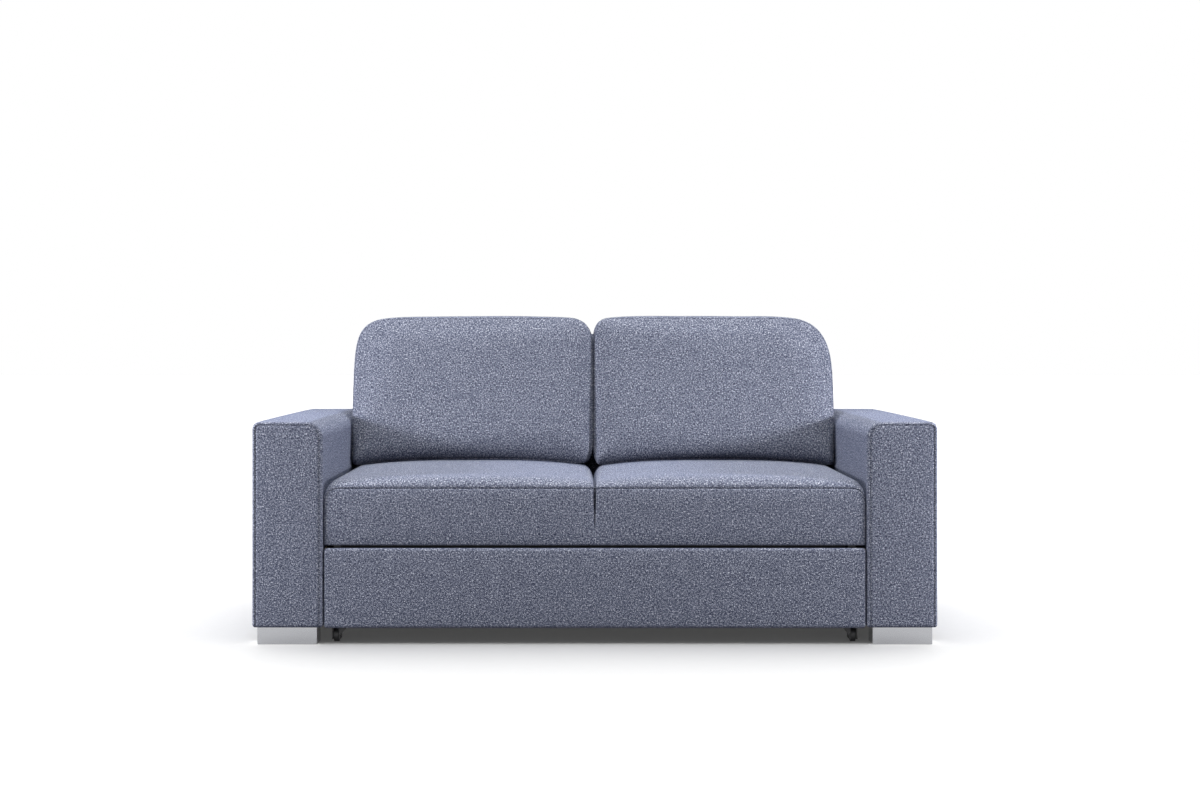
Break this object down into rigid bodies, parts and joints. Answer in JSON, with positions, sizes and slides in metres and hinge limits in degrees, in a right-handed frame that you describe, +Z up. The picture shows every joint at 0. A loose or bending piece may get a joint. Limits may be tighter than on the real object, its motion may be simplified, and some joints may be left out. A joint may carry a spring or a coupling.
{
  "type": "sofa bed",
  "caption": "Upholstered sofa with box arms, loose back cushions, a seat that rolls forward on castors to unfold a bed, and a bedding drawer.",
  "frame": {"origin": "on the floor, under the middle of the sofa's width and depth", "axes": "+Z up, the front faces -Y, +X to the right of someone who faces the sofa"},
  "size_m": [1.94, 1, 0.94],
  "materials": {
    "upholstery_cloth": "blue-grey melange weave",
    "mattress_cloth": "blue-grey melange weave",
    "timber": "planed softwood",
    "slat_wood": "laminated birch",
    "laminated_board": "dark grey melamine",
    "webbing": "woven elastic",
    "chrome": "polished",
    "zinc_steel": "zinc plated",
    "painted_steel": "black powder coat",
    "black_plastic": "moulded",
    "rubber": "matt"
  },
  "bodies": {
    "sofa_body": {"arm_cover_left": "upholstery_cloth", "arm_cover_right": "upholstery_cloth", "arm_frame_left": "timber", "arm_frame_right": "timber", "arm_base_board_left": "laminated_board", "arm_base_board_right": "laminated_board", "foot_front_left": "chrome", "foot_front_right": "chrome", "foot_rear_left": "chrome", "foot_rear_right": "chrome", "foot_screws": "zinc_steel", "back_panel_cover": "upholstery_cloth", "back_panel_frame": "timber", "back_wing_left": "upholstery_cloth", "back_wing_right": "upholstery_cloth", "rear_beam": "timber", "side_rail_left": "timber", "side_rail_right": "timber", "arm_bolts": "zinc_steel", "fixed_hinge_bracket_left": "painted_steel", "fixed_hinge_bracket_right": "painted_steel"},
    "rear_section": {"rear_section_frame": "timber", "rear_section_slats": "slat_wood", "rear_section_mattress": "mattress_cloth", "rear_hinge_studs": "zinc_steel", "top_hinge_plates_rear": "painted_steel", "top_hinge_pins": "zinc_steel"},
    "middle_section": {"middle_section_frame": "timber", "middle_section_slats": "slat_wood", "middle_section_mattress": "mattress_cloth", "middle_hinge_studs": "zinc_steel", "top_hinge_plates_middle": "painted_steel"},
    "support_leg": {"support_leg": "painted_steel", "support_leg_pads": "rubber"},
    "seat_unit": {"seat_frame": "timber", "seat_webbing": "webbing", "seat_pad_left": "upholstery_cloth", "seat_pad_right": "upholstery_cloth", "seat_border": "upholstery_cloth", "cheek_left": "laminated_board", "cheek_right": "laminated_board", "seat_hinge_ear_left": "painted_steel", "seat_hinge_ear_right": "painted_steel", "front_cross_rail": "laminated_board", "rear_cross_rail": "timber", "castor_forks": "black_plastic", "castor_axles": "zinc_steel", "drawer_rails_outer": "zinc_steel"},
    "drawer": {"drawer_box": "laminated_board", "drawer_bottom": "laminated_board", "drawer_rails_inner": "zinc_steel", "front_panel_board": "laminated_board", "front_panel_cover": "upholstery_cloth"},
    "back_cushion_left": {"back_cushion_left": "upholstery_cloth"},
    "back_cushion_right": {"back_cushion_right": "upholstery_cloth"},
    "castor_wheel_front_left": {"castor_wheel_front_left": "black_plastic"},
    "castor_wheel_front_right": {"castor_wheel_front_right": "black_plastic"},
    "castor_wheel_rear_left": {"castor_wheel_rear_left": "black_plastic"},
    "castor_wheel_rear_right": {"castor_wheel_rear_right": "black_plastic"}
  },
  "joints": [
    {"name": "bed_fold", "type": "hinge", "parent": "sofa_body", "child": "rear_section", "pos_m": [0, 0.3675, 0.3585], "axis": [1, 0, 0], "range_deg": [0, 90]},
    {"name": "middle_fold", "type": "hinge", "parent": "rear_section", "child": "middle_section", "pos_m": [0, 0.352, 0.879], "axis": [1, 0, 0], "range_deg": [-180, 0]},
    {"name": "seat_fold", "type": "hinge", "parent": "middle_section", "child": "seat_unit", "pos_m": [0, 0.3365, 0.3585], "axis": [1, 0, 0], "range_deg": [0, 90]},
    {"name": "leg_swing", "type": "hinge", "parent": "rear_section", "child": "support_leg", "pos_m": [0, 0.352, 0.879], "axis": [1, 0, 0], "range_deg": [-90, 0]},
    {"name": "drawer_slide", "type": "slide", "parent": "seat_unit", "child": "drawer", "axis": [0, -1, 0], "range_m": [0, 0.48]},
    {"name": "castor_front_left_spin", "type": "hinge", "parent": "seat_unit", "child": "castor_wheel_front_left", "pos_m": [-0.7375, -0.44, 0.02], "axis": [1, 0, 0], "continuous": true},
    {"name": "castor_front_right_spin", "type": "hinge", "parent": "seat_unit", "child": "castor_wheel_front_right", "pos_m": [0.7375, -0.44, 0.02], "axis": [1, 0, 0], "continuous": true},
    {"name": "castor_rear_left_spin", "type": "hinge", "parent": "seat_unit", "child": "castor_wheel_rear_left", "pos_m": [-0.7375, 0.16, 0.02], "axis": [1, 0, 0], "continuous": true},
    {"name": "castor_rear_right_spin", "type": "hinge", "parent": "seat_unit", "child": "castor_wheel_rear_right", "pos_m": [0.7375, 0.16, 0.02], "axis": [1, 0, 0], "continuous": true},
    {"name": "back_cushion_left_lift", "type": "slide", "parent": "middle_section", "child": "back_cushion_left", "axis": [0, -1, 0], "range_m": [0, 0.35]},
    {"name": "back_cushion_right_lift", "type": "slide", "parent": "middle_section", "child": "back_cushion_right", "axis": [0, -1, 0], "range_m": [0, 0.35]}
  ],
  "couplings": [
    {"joint": "middle_fold", "follows": "bed_fold", "ratio": -2},
    {"joint": "seat_fold", "follows": "bed_fold", "ratio": 1},
    {"joint": "leg_swing", "follows": "bed_fold", "ratio": -1}
  ]
}
